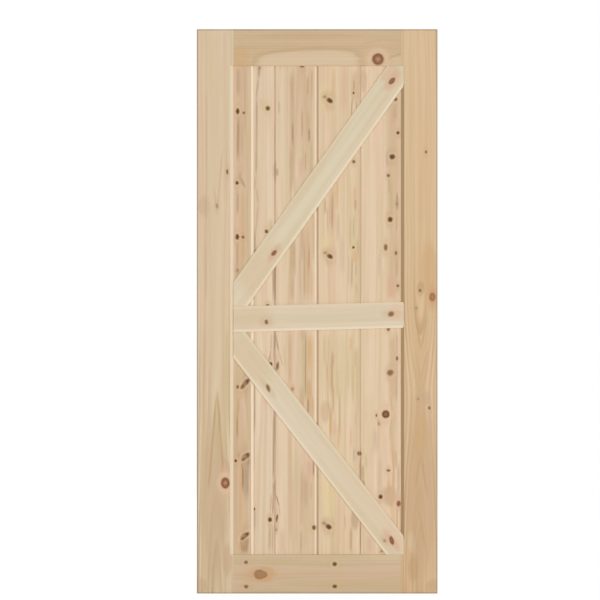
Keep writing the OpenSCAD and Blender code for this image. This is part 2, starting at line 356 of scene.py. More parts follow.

    # ---- a little darker along the frame's outer corners
    if outer:
        split = t.nt.nodes.new("ShaderNodeSeparateXYZ")
        t.put(split.inputs[0], spot)
        gx = t.sub(0.455, t.absolute(split.outputs[0]))
        gy = t.sub(0.0175, t.absolute(split.outputs[1]))
        gz = t.math("MINIMUM", split.outputs[2], t.sub(2.134, split.outputs[2]))
        near_edge = t.math("MINIMUM", gx, gz)
        corner = t.math("SQRT", t.mad(near_edge, near_edge, t.mul(gy, gy)))
        colour = t.mix(t.span(corner, 0.0062, 0.0014, 0.0, 0.75), colour, t.mix(1.0, colour, srgb(176, 168, 156), "MULTIPLY"))

    t.put(t.bsdf.inputs["Base Color"], colour)

    # ---- sanded surface: late wood is harder and smoother, knots are a little shiny
    rough = t.mad(t.sub(hair2, 0.5), 0.18, gloss)
    rough = t.mad(latewood, -0.06, rough)
    if knot_mask is not None:
        rough = t.mad(knot_mask, -0.14, rough)
    t.put(t.bsdf.inputs["Roughness"], rough)
    t.bsdf.inputs["Specular IOR Level"].default_value = 0.2
    height = t.add(t.mul(latewood, 0.35), t.mad(hair, 0.5, t.mul(hair2, 0.4)))
    if knot_mask is not None:
        height = t.mad(knot_mask, 0.5, height)
    bump = t.nt.nodes.new("ShaderNodeBump")
    bump.inputs["Strength"].default_value = 0.22
    bump.inputs["Distance"].default_value = 0.0006
    t.put(bump.inputs["Height"], height)
    t.put(t.bsdf.inputs["Normal"], bump.outputs["Normal"])
    return t.mat


UP = (0.0, 0.0, 1.0)
RIGHT = (1.0, 0.0, 0.0)


def lean(angle):
    a = math.radians(angle)
    return (math.cos(a), 0.0, math.sin(a)), (-math.sin(a), 0.0, math.cos(a))


PINK = srgb(224, 190, 160)
ROSE = srgb(216, 174, 145)
CREAM = srgb(234, 213, 184)
OLIVE = srgb(196, 177, 131)
KHAKI = srgb(207, 186, 140)
YELLOW = srgb(226, 203, 152)
HONEY = srgb(207, 169, 122)
ORANGE = srgb(214, 170, 122)
RUST = srgb(187, 139, 100)
TAN = srgb(196, 164, 127)
BROWN = srgb(166, 134, 100)
UMBER = srgb(150, 116, 82)
GREY = srgb(178, 154, 126)
MAUVE = srgb(200, 169, 146)
LINEN = srgb(228, 205, 174)
BUFF = srgb(214, 190, 156)
SAND = srgb(208, 178, 142)
FAWN = srgb(198, 168, 134)
AMBER = srgb(187, 152, 110)

LEFT, DOWN = (-1.0, 0.0, 0.0), (0.0, 0.0, -1.0)
# Painted highlight and shade on bevels, by the side they face: right-facing bevels of the stiles and seams are painted
# paler as highlight and left-facing ones darker as shade, darkest in the deep seam as painted shadow in the groove; on
# the overlay boards downward-facing bevels get a painted highlight and upward-facing ones a fainter one.
STILE_BEVEL_HIGHLIGHT_SHADE = ((RIGHT, srgb(246, 227, 200), 0.80), (LEFT, srgb(160, 130, 92), 0.70))
SEAM_BEVEL_HIGHLIGHT_SHADE = ((RIGHT, srgb(250, 225, 195), 0.95), (LEFT, srgb(214, 187, 154), 0.35))
FIRST_SEAM_HIGHLIGHT_SHADE = ((RIGHT, srgb(250, 230, 204), 0.90), (LEFT, srgb(214, 187, 154), 0.35))
DEEP_SEAM_HIGHLIGHT_SHADOW = ((RIGHT, srgb(252, 230, 200), 0.90), (LEFT, srgb(166, 140, 108), 0.62))
OVERLAY_BEVEL_HIGHLIGHT = ((DOWN, srgb(244, 226, 199), 0.55), (UP, srgb(236, 219, 190), 0.35))

MATERIALS = {}

MATERIALS["left_stile"] = pine(
    "pine_left_stile", (-0.386, 1.067), UP, RIGHT, srgb(219, 198, 166), srgb(184, 156, 118), 1.0,
    ring=0.0110, pith=(0.007, 0.045), taper=0.004, bow=0.005, wander=0.010, contrast=0.85, rises=((620, 385, 0.030), (330, 60, -0.012)), calm=((400, 300, 0.45),),
    bands=(srgb(200, 174, 138), 0.35, srgb(224, 204, 172), 0.3, 60.0), outer=True, bevel_highlight_shade=STILE_BEVEL_HIGHLIGHT_SHADE,
    tints=((PINK, 0.28, (0.7, 22.0, 22.0)), (KHAKI, 0.45, (0.9, 26.0, 26.0))),
    patches=((204, 206, 7, 12, FAWN, 0.6), (214, 500, 16, 100, FAWN, 0.68), (217, 428, 4.5, 26, OLIVE, 0.5), (201, 585, 7, 9, FAWN, 0.6), (225, 466, 5, 9, FAWN, 0.6), (227, 560, 5, 20, FAWN, 0.65)),
    streaks=((201, 30, 201.5, 330, 7.0, PINK, 0.30), (213, 30, 212, 380, 13.0, BUFF, 0.55), (224.5, 30, 224.5, 200, 2.6, ROSE, 0.5), (221, 60, 220, 240, 3.0, BUFF, 0.5),
             (206.6, 90, 206, 300, 2.0, TAN, 0.5), (217.6, 392, 223.0, 470, 2.6, AMBER, 0.75), (217.0, 392, 208.5, 490, 2.4, AMBER, 0.7), (218, 420, 219, 470, 2.4, OLIVE, 0.5),
             (222.5, 150, 217.4, 209, 2.0, FAWN, 0.55), (213.5, 186, 216.6, 209, 2.0, FAWN, 0.5), (205.6, 330, 206, 430, 2.6, ROSE, 0.4), (204, 330, 203, 580, 4.0, SAND, 0.6), (227, 330, 226, 460, 3.0, OLIVE, 0.5)),
    knots=((227.3, 171.8, 2.6, 5.5, "brown"), (217.0, 206, 2.6, 5.0, "soft"), (225.3, 483.0, 8.6, 11.2, "ring")))
MATERIALS["right_stile"] = pine(
    "pine_right_stile", (0.386, 1.067), UP, RIGHT, srgb(219, 190, 151), srgb(186, 150, 108), 2.0,
    ring=0.0100, pith=(0.003, 0.045), taper=0.003, bow=0.005, wander=0.010, contrast=0.95, rises=((560, 415, 0.030), (400, 290, -0.030)), calm=((330, 250, 0.35),),
    bands=(srgb(198, 164, 122), 0.4, srgb(222, 196, 160), 0.3, 60.0), outer=True, bevel_highlight_shade=STILE_BEVEL_HIGHLIGHT_SHADE,
    tints=((PINK, 0.40, (0.7, 22.0, 22.0)), (HONEY, 0.40, (0.8, 24.0, 24.0))),
    knots=((426, 152, 2.4, 3.4, "brown"), (420, 290.5, 2.8, 3.6, "brown"), (432.4, 297, 6.6, 8.8, "rust"),
           (416.3, 308, 2.6, 3.4, "soft"), (429.4, 408, 2.6, 3.6, "brown"), (418, 399, 2.6, 3.0, "soft")),
    streaks=((421, 350, 427.5, 314, 2.2, AMBER, 0.55), (421, 350, 414.2, 314, 2.2, AMBER, 0.55), (420.6, 379, 427.5, 350, 2.2, AMBER, 0.4),
             (420.6, 379, 414.4, 350, 2.2, AMBER, 0.4), (421, 454, 427, 496, 2.2, AMBER, 0.5), (420.6, 454, 414.6, 492, 2.2, AMBER, 0.5),
             (419.6, 509, 425.4, 552, 2.4, AMBER, 0.6), (419.2, 509, 412.6, 548, 2.2, AMBER, 0.35), (409, 40, 409, 300, 3.0, KHAKI, 0.3), (416, 40, 416, 240, 4.0, PINK, 0.3)),
    patches=((421, 500, 18, 110, TAN, 0.6), (421, 432, 7, 20, HONEY, 0.55), (429, 268, 10, 30, HONEY, 0.65), (413, 568, 6, 16, AMBER, 0.5), (421, 288, 4, 7, AMBER, 0.6), (426, 398, 5, 8, FAWN, 0.6), (411, 542, 4, 12, BUFF, 0.6), (432, 586, 7, 8, TAN, 0.6)))
MATERIALS["top_rail"] = pine(
    "pine_top_rail", (0.0, 2.065), RIGHT, UP, srgb(209, 183, 146), srgb(184, 154, 114), 3.0,
    ring=0.010, pith=(-0.090, 0.020), wander=0.008, contrast=0.55,
    bands=(srgb(194, 164, 126), 0.35, srgb(214, 190, 154), 0.3, 45.0), outer=True,
    tints=((ROSE, 0.30, (1.2, 18.0, 18.0)), (OLIVE, 0.30, (0.9, 24.0, 24.0))),
    streaks=((384, 61, 404, 52.5, 2.4, AMBER, 0.55), (360, 44.5, 385, 39.5, 3.0, TAN, 0.40),
             (384, 39.5, 404, 42, 3.0, TAN, 0.35), (256, 53, 330, 46.5, 3.4, TAN, 0.45)),
    knots=((378.0, 59.2, 11.8, 11.6, "ring"),),
    patches=((241, 58, 11, 14, HONEY, 0.6), (306, 66, 54, 16.5, LINEN, 0.45, 0.34, 0.045), (398, 63, 11, 8, BUFF, 0.6), (306, 36, 60, 4, FAWN, 0.4)))
MATERIALS["bottom_rail"] = pine(
    "pine_bottom_rail", (0.0, 0.0735), RIGHT, UP, srgb(210, 185, 153), srgb(186, 158, 124), 4.0,
    ring=0.010, pith=(0.02, 0.035), wander=0.008, contrast=0.35,
    bands=(srgb(194, 168, 132), 0.3, srgb(214, 190, 158), 0.3, 45.0), outer=True,
    tints=((ROSE, 0.35, (1.6, 16.0, 18.0)), (OLIVE, 0.40, (1.4, 20.0, 22.0))),
    patches=((267, 573.5, 8, 6, HONEY, 0.7), (345, 583, 60, 5, SAND, 0.5), (385, 556, 22, 5, BUFF, 0.6)),
    knots=((246, 562.3, 3.6, 4.2, "brown"), (246.2, 586.6, 3.8, 4.4, "brown"), (334.7, 564.1, 4.4, 4.8, "olive"),
           (334.8, 586.4, 4.2, 4.8, "olive"), (259.4, 574.4, 10.0, 11.0, "tan"), (262.6, 574.6, 7.2, 9.8, "tan")))
MATERIALS["plank_1"] = pine(
    "pine_plank_1", (-0.282, 1.067), UP, RIGHT, srgb(215, 190, 159), srgb(184, 150, 112), 5.0, patches=((241, 485, 10, 80, TAN, 0.30),),
    ring=0.0120, pith=(0.0, 0.030), taper=0.010, wander=0.010, bevel_highlight_shade=FIRST_SEAM_HIGHLIGHT_SHADE, contrast=0.45,
    bands=(srgb(190, 158, 122), 0.5, srgb(222, 196, 166), 0.3, 80.0),
    tints=((PINK, 0.50, (1.4, 28.0, 25.0)), (HONEY, 0.45, (1.6, 34.0, 30.0)), (KHAKI, 0.40, (1.6, 40.0, 30.0))),
    streaks=((238, 66, 238, 96, 4.0, GREY, 0.6), (241.5, 68, 241.5, 100, 3.0, ROSE, 0.6), (245, 66, 245, 135, 2.0, TAN, 0.6),
             (248.5, 66, 248, 160, 3.0, KHAKI, 0.3), (238, 116, 237.8, 160, 3.0, BROWN, 0.8), (242, 116, 242, 160, 3.5, TAN, 0.5),
             (241, 160, 241, 176, 6.0, ROSE, 0.7), (240.5, 177, 245.0, 188, 3.0, RUST, 0.8), (240, 171, 240, 185, 4.4, TAN, 0.8), (237.6, 191, 237.6, 214, 3.0, GREY, 0.8),
             (243, 190, 243, 262, 4.5, HONEY, 0.65), (241, 214, 241, 232, 4.0, ROSE, 0.6), (247, 190, 247, 255, 2.0, TAN, 0.5),
             (237.5, 240, 237.5, 268, 2.5, BROWN, 0.5),
             (239, 366, 239, 376, 3.0, KHAKI, 0.7), (241, 390, 241, 400, 3.5, ORANGE, 0.7), (238.5, 398, 238, 416, 2.0, RUST, 0.7),
             (241.5, 398, 241.5, 446, 4.0, ROSE, 0.65), (235, 408, 235, 440, 2.5, OLIVE, 0.8), (237.2, 414, 237, 438, 1.8, BROWN, 0.85),
             (245.5, 430, 245.5, 448, 4.0, KHAKI, 0.7), (239, 446, 240.5, 456, 3.5, OLIVE, 0.6),
             (246.3, 456, 246.3, 466, 5.4, BROWN, 0.95), (239, 452, 239.5, 464, 4.0, AMBER, 0.8), (242.8, 460, 242.6, 492, 2.0, UMBER, 0.85),
             (246.0, 459, 246.3, 500, 5.4, GREY, 0.95), (240.4, 462, 240.0, 530, 2.6, ORANGE, 0.75),
             (236.5, 470, 236.5, 548, 2.5, MAUVE, 0.5), (245.5, 500, 245.5, 528, 4.0, KHAKI, 0.5),
             (242, 537, 241.6, 553, 1.8, UMBER, 0.9), (244.7, 536, 245.0, 554, 6.6, BROWN, 0.95),
             (239, 530, 239, 552, 3.5, ORANGE, 0.6)),
    knots=((237.6, 111, 3.6, 6.0), (243.7, 112.6, 2.8, 3.2, "brown"), (237, 182.8, 3.0, 4.0), (237.2, 236.8, 3.8, 5.8),
           (242.9, 237.1, 2.8, 3.0, "red"), (237.5, 270.6, 3.0, 5.0, "soft"), (245.7, 382.8, 4.6, 10.6, "dark", 44),
           (242.6, 386.6, 4.0, 6.0, "brown", 35), (237.6, 387, 3.0, 4.0, "brown"), (245.6, 456.5, 5.0, 9.6, "dark", 52),
           (235.6, 461, 2.8, 3.4), (245.0, 535.6, 4.4, 9.4, "dark", 56), (243.6, 459.4, 3.2, 5.4, "brown", 54), (243.0, 538.6, 3.0, 5.6, "brown", 58)))
MATERIALS["plank_2"] = pine(
    "pine_plank_2", (-0.204, 1.067), UP, RIGHT, srgb(224, 201, 172), srgb(198, 168, 132), 6.0,
    ring=0.0130, pith=(-0.03, 0.030), taper=-0.010, wander=0.010, bevel_highlight_shade=SEAM_BEVEL_HIGHLIGHT_SHADE, contrast=0.35,
    bands=(srgb(206, 178, 144), 0.4, srgb(232, 211, 182), 0.4, 80.0),
    tints=((PINK, 0.55, (1.4, 28.0, 25.0)), (CREAM, 0.55, (1.6, 34.0, 30.0)), (KHAKI, 0.30, (1.6, 40.0, 30.0))),
    streaks=((259.4, 66, 258.8, 78, 2.6, GREY, 0.9), (258.9, 77, 256.2, 98, 2.0, GREY, 0.75), (257.0, 96, 256.2, 176, 2.2, GREY, 0.85),
             (255.2, 176, 255.4, 190, 2.0, TAN, 0.6), (256.6, 188, 258.2, 204, 2.0, MAUVE, 0.85), (258.3, 203, 255.4, 236, 2.0, MAUVE, 0.85),
             # in this list the dark streaks from px 273.5 to 275 run along seam 2 and are painted shade in its groove
             (274.9, 118, 274.9, 163, 2.0, BROWN, 0.9), (274.8, 163, 274.6, 178, 3.2, BROWN, 0.85), (274.6, 178, 274.4, 215, 1.4, TAN, 0.8), (273.7, 262, 273.5, 303, 2.8, UMBER, 0.85),
             (262, 98, 264, 112, 7.0, KHAKI, 0.5), (254.6, 380, 254.4, 436, 2.0, GREY, 0.85), (254.3, 436, 254, 470, 2.0, TAN, 0.5),
             (273.8, 410, 273.4, 482, 2.0, BROWN, 0.95), (273.9, 482, 274.2, 498, 3.0, BROWN, 0.9), (273.4, 494, 272.8, 516, 1.8, BROWN, 0.8),
             (271.2, 494, 270.6, 512, 1.4, TAN, 0.8), (270.2, 524, 269.2, 552, 3.2, FAWN, 0.8), (272.8, 524, 272.6, 553, 2.0, TAN, 0.7),
             (274.2, 330, 274.0, 366, 2.2, BROWN, 0.9), (271.4, 332, 270.6, 352, 1.8, TAN, 0.8), (270.8, 350, 269.2, 362, 1.8, TAN, 0.9),
             (254.6, 62, 253.6, 180, 2.6, CREAM, 0.85), (253.2, 515, 253, 553, 2.4, TAN, 0.75), (255.2, 230, 255, 256, 2.4, GREY, 0.75), (270, 218, 270, 236, 5.0, SAND, 0.75), (264, 386, 264, 408, 6.0, ROSE, 0.3), (255, 510, 254.6, 530, 2.6, GREY, 0.6)),
    knots=((267.8, 108.2, 4.6, 4.8, "olive"), (266.4, 231.3, 3.6, 4.0, "olive"), (254.8, 251.5, 2.6, 5.0, "soft"), (259.6, 67.7, 2.6, 3.4, "soft"),
           (267.5, 305.6, 4.0, 3.0, "olive"), (270.6, 364.4, 3.6, 4.8), (254.1, 509.4, 2.6, 3.4, "olive"), (270, 519.9, 4.0, 4.6),
           (249.3, 303.5, 3.0, 3.0, "olive"), (248, 333.1, 3.0, 3.0, "soft")))
MATERIALS["plank_3"] = pine(
    "pine_plank_3", (-0.082, 1.067), UP, RIGHT, srgb(221, 196, 165), srgb(192, 160, 122), 7.0, patches=((299, 505, 18, 55, SAND, 0.35), (300, 110, 16, 60, SAND, 0.25)),
    ring=0.0130, pith=(0.02, 0.028), taper=0.012, wander=0.010, bevel_highlight_shade=SEAM_BEVEL_HIGHLIGHT_SHADE, contrast=0.45,
    bands=(srgb(200, 168, 132), 0.45, srgb(230, 206, 176), 0.4, 70.0),
    tints=((PINK, 0.60, (1.4, 22.0, 25.0)), (KHAKI, 0.28, (1.6, 26.0, 30.0)), (CREAM, 0.45, (1.6, 30.0, 30.0))),
    # the MAUVE streak at px 303 from py 328 to 342, just below the middle rail, is painted shadow under that rail
    streaks=((281.6, 60, 281.4, 560, 8.0, LINEN, 0.75), (293.2, 236, 292.8, 277, 6.4, TAN, 0.95), (303, 226, 302.6, 264, 5.6, FAWN, 0.85), (303, 328, 303, 342, 6.0, MAUVE, 0.65),
             (302, 386, 302, 410, 5.4, FAWN, 0.8), (306, 475, 306, 510, 5.6, FAWN, 0.8), (302, 505, 302, 526, 5.0, SAND, 0.75),
             # the UMBER streaks near px 275 run along seam 2 and are painted shade in its groove
             (275.2, 158, 275.2, 184, 2.6, UMBER, 0.6), (275.0, 258, 274.8, 304, 2.2, UMBER, 0.8), (275.0, 328, 274.9, 350, 2.0, UMBER, 0.6), (275.0, 408, 274.9, 446, 2.0, UMBER, 0.5), (274.9, 478, 274.8, 502, 2.2, UMBER, 0.6), (276.0, 532, 276.0, 560, 3.4, CREAM, 0.8), (309, 377, 309, 399, 5.0, FAWN, 0.75), (308, 111, 308, 137, 4.0, TAN, 0.7),
             (308, 150, 308, 300, 11.0, SAND, 0.55), (310, 330, 310, 420, 9.0, HONEY, 0.6), (292, 70, 292, 190, 5.5, TAN, 0.8), (292.7, 122, 292.6, 145, 2.0, BROWN, 0.85), (290.6, 150, 290.4, 200, 3.0, TAN, 0.7),
             (279.0, 100, 279.2, 114, 1.6, BROWN, 0.45), (276.6, 168, 276.8, 176, 4.0, BROWN, 0.6), (307, 66, 307, 150, 12.0, SAND, 0.6),
             (307.7, 76, 307.7, 96, 2.0, RUST, 0.55), (311.8, 66, 311.8, 100, 2.2, RUST, 0.5), (309, 128, 309, 142, 2.0, BROWN, 0.8),
             (302, 108, 302, 140, 2.4, RUST, 0.5), (311, 138, 311, 178, 3.6, OLIVE, 0.8), (303, 140, 303, 170, 3.0, OLIVE, 0.6),
             (301, 158, 301, 176, 5.0, ROSE, 0.6), (305.4, 150, 305.4, 172, 1.8, RUST, 0.6), (296, 175, 296, 210, 5.0, HONEY, 0.35),
             (313.5, 205, 313.5, 262, 2.2, TAN, 0.6), (308, 225, 308, 300, 4.0, HONEY, 0.5), (300, 255, 300, 300, 3.0, TAN, 0.5),
             (293, 275, 293, 300, 3.0, TAN, 0.5), (312, 270, 312, 300, 3.0, ROSE, 0.6), (304.5, 240, 304.5, 300, 2.0, BROWN, 0.45), (291.4, 240, 291.2, 300, 3.0, TAN, 0.8), (309.2, 246, 308.8, 272, 2.2, RUST, 0.6),
             (290.3, 332, 290.3, 386, 3.4, FAWN, 0.85), (303.5, 336, 303.5, 400, 4.0, OLIVE, 0.65), (305.7, 332, 305.7, 400, 1.6, BROWN, 0.75),
             (309.5, 336, 309.5, 372, 5.0, ORANGE, 0.7), (308.4, 398, 308.2, 416, 2.0, BROWN, 0.85), (313, 396, 313, 416, 2.0, TAN, 0.7),
             (275.8, 334, 278.8, 352, 1.6, BROWN, 0.85), (278.8, 352, 282.5, 366, 1.4, TAN, 0.8), (284, 345, 286, 372, 4.0, KHAKI, 0.5),
             (289.8, 430, 290.4, 540, 4.0, SAND, 0.8), (302, 466, 302, 510, 3.2, TAN, 0.7), (296, 450, 296, 500, 5.0, KHAKI, 0.4),
             (309, 460, 309, 480, 6.0, ROSE, 0.75), (313.6, 460, 313.4, 476, 1.8, BROWN, 0.9), (311, 482, 311, 500, 2.0, TAN, 0.6),
             (276.2, 495, 279, 507, 1.6, BROWN, 0.85), (279, 506, 280, 516, 1.4, TAN, 0.7), (306, 505, 306, 553, 4.0, KHAKI, 0.6),
             (282, 530, 282, 553, 6.0, ROSE, 0.5), (301, 530, 301, 553, 3.0, TAN, 0.6)),
    knots=((302.1, 66.4, 4.4, 2.0, "brown"), (277.5, 366, 2.8, 8.6, "brown", 8), (276.9, 518.5, 2.2, 8.0, "brown", 8), (273.6, 528, 2.4, 3.0, "soft"),
           (276, 530, 2.4, 3.0, "soft"), (314.4, 527.8, 4.6, 5.0, "olive"), (292.5, 389, 3.0, 4.0, "soft")))
MATERIALS["plank_4"] = pine(
    "pine_plank_4", (0.0795, 1.067), UP, RIGHT, srgb(224, 199, 165), srgb(196, 164, 124), 8.0,
    ring=0.0130, pith=(-0.01, 0.030), taper=-0.012, wander=0.010, bevel_highlight_shade=DEEP_SEAM_HIGHLIGHT_SHADOW, contrast=0.40,
    bands=(srgb(204, 174, 136), 0.4, srgb(232, 208, 178), 0.35, 70.0),
    tints=((PINK, 0.55, (1.4, 26.0, 25.0)), (KHAKI, 0.50, (1.6, 32.0, 30.0)), (CREAM, 0.40, (1.6, 40.0, 30.0))),
    patches=((326, 243, 6, 11, YELLOW, 0.45), (325, 95, 6, 14, YELLOW, 0.5), (326, 411, 6, 13, SAND, 0.7), (338, 370, 20, 38, KHAKI, 0.28), (329, 498, 8, 26, YELLOW, 0.5),
             (359, 247, 3, 10, OLIVE, 0.7), (355, 257, 3.5, 6, ORANGE, 0.5), (357, 86, 6.5, 20, SAND, 0.75), (355, 519, 5, 13, FAWN, 0.85)),
    streaks=((334, 68, 334, 95, 4.0, ORANGE, 0.5), (344, 66, 344, 112, 8.0, ROSE, 0.5), (354.2, 80, 354, 90, 1.8, BROWN, 0.6),
             (352.2, 97, 351.2, 118, 1.8, BROWN, 0.6), (356.5, 101, 356.5, 110, 1.8, BROWN, 0.6), (360.4, 98, 360.4, 106, 2.0, BROWN, 0.6),
             (360.4, 66, 361, 88, 3.4, OLIVE, 0.7),
             (337.2, 178, 337, 212, 2.8, ORANGE, 0.6), (338, 212, 338, 242, 4.0, SAND, 0.7), (356.6, 326, 356.6, 350, 4.4, LINEN, 0.85), (332.4, 188, 332.2, 233, 2.2, RUST, 0.75), (334.6, 186, 334.6, 230, 2.4, ROSE, 0.6),
             (325.3, 198, 325.2, 214, 2.0, BROWN, 0.6), (327.6, 206, 327.6, 232, 1.8, TAN, 0.7), (330, 190, 330, 228, 1.8, TAN, 0.6),
             (355, 186, 355, 210, 3.6, ROSE, 0.8), (355.6, 199, 355.4, 210, 1.8, RUST, 0.8), (353.6, 214, 353.6, 240, 1.8, OLIVE, 0.9),
             (359.6, 165, 359.6, 300, 1.8, TAN, 0.30), (350.2, 215, 350, 250, 1.8, TAN, 0.6),
             (351.9, 258, 351.7, 288, 1.9, BROWN, 0.75), (356, 263, 356, 276, 2.0, OLIVE, 0.9), (348.6, 255, 348.6, 285, 2.0, MAUVE, 0.6),
             (342, 235, 342, 275, 6.0, MAUVE, 0.4), (356.4, 282, 356.2, 296, 2.0, MAUVE, 0.7),
             (324.2, 333, 324.2, 366, 2.6, OLIVE, 0.55), (328.4, 334, 328.4, 366, 2.6, OLIVE, 0.55), (333, 352, 333.2, 366, 1.8, TAN, 0.8),
             (332, 352, 331.8, 396, 2.2, RUST, 0.60), (327, 362, 328.4, 394, 2.0, RUST, 0.5), (329.6, 360, 329.6, 390, 1.8, ORANGE, 0.6),
             (337.6, 366, 337.4, 400, 3.6, OLIVE, 0.5), (333.4, 384, 333.2, 414, 1.8, TAN, 0.9), (328, 388, 328.2, 412, 1.8, TAN, 0.8),
             (339.6, 392, 339.6, 436, 2.0, TAN, 0.9), (355.6, 350, 355.4, 368, 2.2, OLIVE, 0.7), (352.4, 366, 352.6, 402, 2.6, OLIVE, 0.45),
             (357.2, 366, 357.2, 402, 2.0, KHAKI, 0.7), (351, 336, 350.4, 352, 3.0, ORANGE, 0.5), (348, 358, 348, 390, 2.0, MAUVE, 0.6),
             (330.8, 408, 330.6, 438, 3.0, HONEY, 0.9), (334.4, 420, 334.4, 436, 3.0, ROSE, 0.8), (338.4, 424, 338.2, 450, 3.4, ORANGE, 0.6),
             (355.4, 412, 356, 426, 2.2, OLIVE, 0.35), (351, 428, 351, 448, 2.0, ROSE, 0.8), (354.6, 448, 354.4, 462, 3.0, MAUVE, 0.7),
             (359.4, 330, 359.4, 448, 1.8, TAN, 0.5), (359.6, 458, 359.6, 482, 2.0, UMBER, 0.7),
             (341.5, 498, 341.5, 548, 5.0, PINK, 0.5), (351.2, 526, 351, 553, 2.8, TAN, 0.9), (345, 514, 345.4, 530, 2.0, MAUVE, 0.7)),
    knots=((329.7, 100.3, 7.0, 4.6, "dark", 34), (324.6, 96.6, 4.0, 3.0, "soft"), (353.6, 92.9, 2.2, 2.8, "olive"), (329.9, 256.3, 6.4, 4.4, "dark", 32), (325.2, 252.8, 4.0, 3.4, "soft"),
           (353.8, 161.6, 3.4, 3.6, "brown"), (353.5, 247.5, 2.4, 3.2, "olive"), (328.6, 527.0, 7.0, 4.8, "dark", 34), (324.0, 523.4, 4.0, 3.4, "soft"),
           (359.2, 453.7, 4.2, 4.4, "brown")))
MATERIALS["plank_5"] = pine(
    "pine_plank_5", (0.239, 1.067), UP, RIGHT, srgb(228, 203, 171), srgb(200, 168, 132), 9.0,
    ring=0.0140, pith=(0.03, 0.030), taper=0.010, wander=0.010, bevel_highlight_shade=SEAM_BEVEL_HIGHLIGHT_SHADE, contrast=0.30,
    bands=(srgb(210, 180, 146), 0.35, srgb(230, 206, 176), 0.35, 60.0),
    tints=((PINK, 0.45, (1.4, 26.0, 25.0)), (KHAKI, 0.25, (1.6, 32.0, 30.0))),
    patches=((363.5, 80, 4, 15, SAND, 0.8), (389, 496, 9, 12, FAWN, 0.75)),
    streaks=((393, 402, 393, 462, 7.0, SAND, 0.75), (400.8, 500, 400.8, 556, 2.6, TAN, 0.8), (393.6, 95, 393.6, 300, 15.0, SAND, 0.85), (393, 112, 393, 126, 4.5, ROSE, 0.9), (395, 103, 395, 120, 5.0, FAWN, 0.75), (387.5, 150, 387.5, 168, 4.0, MAUVE, 0.7),
             (391.4, 178, 391.4, 216, 4.6, OLIVE, 0.65), (388.8, 178, 388.8, 194, 1.8, TAN, 0.6), (397.1, 192, 397.1, 211, 2.2, BROWN, 0.75),
             (396.4, 212, 396.4, 232, 2.0, TAN, 0.7), (397, 258, 396.8, 278, 3.0, FAWN, 0.8), (391, 276, 391, 300, 9.0, ROSE, 0.8),
             (379.6, 250, 379, 278, 2.4, MAUVE, 0.55), (383, 255, 383, 272, 1.6, CREAM, 0.6), (361.6, 160, 361.4, 300, 1.8, TAN, 0.15),
             (370, 160, 370, 300, 8.0, LINEN, 0.4),
             (392.5, 332, 392.5, 405, 8.0, SAND, 0.85), (397.2, 332, 397.1, 354, 2.2, GREY, 0.7), (396.8, 360, 396.6, 402, 2.0, GREY, 0.6),
             (391.2, 396, 391.4, 412, 2.0, OLIVE, 0.8), (393, 376, 393, 400, 3.0, ORANGE, 0.5), (370, 336, 370, 400, 10.0, LINEN, 0.5),
             (365, 410, 365, 424, 4.0, PINK, 0.7), (378.6, 418, 379.4, 426, 2.0, TAN, 0.8), (390, 402, 390.4, 440, 2.0, TAN, 0.5),
             (376, 428, 376, 455, 8.0, MAUVE, 0.45), (386, 430, 386, 468, 5.0, PINK, 0.5), (393.4, 445, 393.4, 494, 3.4, HONEY, 0.85),
             (398.8, 462, 398.8, 498, 2.2, MAUVE, 0.85), (396, 450, 396.2, 470, 2.0, BROWN, 0.4), (366, 454, 366.2, 470, 2.4, OLIVE, 0.8),
             (362.8, 464, 362.8, 482, 3.0, TAN, 0.85), (360.8, 456, 360.8, 482, 1.6, UMBER, 0.6), (363.0, 480, 364.6, 487, 2.0, BROWN, 0.8),
             (375, 446, 375, 494, 2.4, CREAM, 0.8), (380, 456, 380, 494, 6.0, MAUVE, 0.5), (389, 476, 389, 500, 4.0, ORANGE, 0.7),
             (392.8, 496, 392.8, 530, 5.0, ORANGE, 0.6), (360.4, 520, 360.2, 553, 1.8, UMBER, 0.7), (397, 508, 397, 530, 2.0, TAN, 0.6),
             (370, 536, 370, 553, 8.0, MAUVE, 0.4)),
    knots=((392.4, 156.6, 5.6, 5.4), (388.5, 175.4, 3.4, 3.4, "brown"), (390.3, 219.4, 5.2, 5.2, "dark", 30), (397, 204, 2.2, 4.0, "soft"),
           (385.8, 247.3, 4.0, 6.4, "brown"), (396.1, 253, 2.8, 4.6, "brown"), (398, 132.6, 3.4, 3.2), (395.9, 99.2, 3.6, 4.0, "brown", 20),
           (398, 285.8, 3.2, 3.0, "brown"), (388.5, 329.1, 3.6, 4.0, "brown"), (397.1, 358.6, 2.6, 4.8, "brown"), (390.4, 372.8, 6.8, 6.2, "brown", -20), (359.6, 453.7, 4.2, 4.6, "brown"),
           (385.8, 414.3, 7.8, 8.0, "eye"), (376.5, 415.5, 1.8, 3.4, "brown"), (379, 424, 2.4, 3.0, "soft"), (388.6, 470.7, 4.2, 2.4, "brown"),
           (380.6, 496.9, 4.2, 4.4), (398.7, 503.8, 4.2, 5.6, "red"), (381.5, 551.4, 3.0, 3.2, "soft")))
a, b = lean(1.5)
MATERIALS["middle_rail"] = pine(
    "pine_middle_rail", (0.0, 1.045), a, b, srgb(222, 206, 180), srgb(205, 184, 152), 10.0,
    ring=0.0150, pith=(0.01, 0.045), wander=0.006, contrast=0.18, bevel_highlight_shade=OVERLAY_BEVEL_HIGHLIGHT, fibre=0.06,
    bands=(srgb(208, 186, 150), 0.18, srgb(224, 206, 178), 0.2, 30.0),
    tints=((OLIVE, 0.25, (1.2, 24.0, 24.0)), (PINK, 0.25, (1.2, 26.0, 26.0))),
    patches=((396, 312, 9, 9, PINK, 0.6), (250, 317, 30, 13, BUFF, 0.6)),
    knots=((266.4, 322, 5.0, 3.8, "brown"), (391, 314, 5.0, 6.4, "brown", 24)))
a, b = lean(54.65)
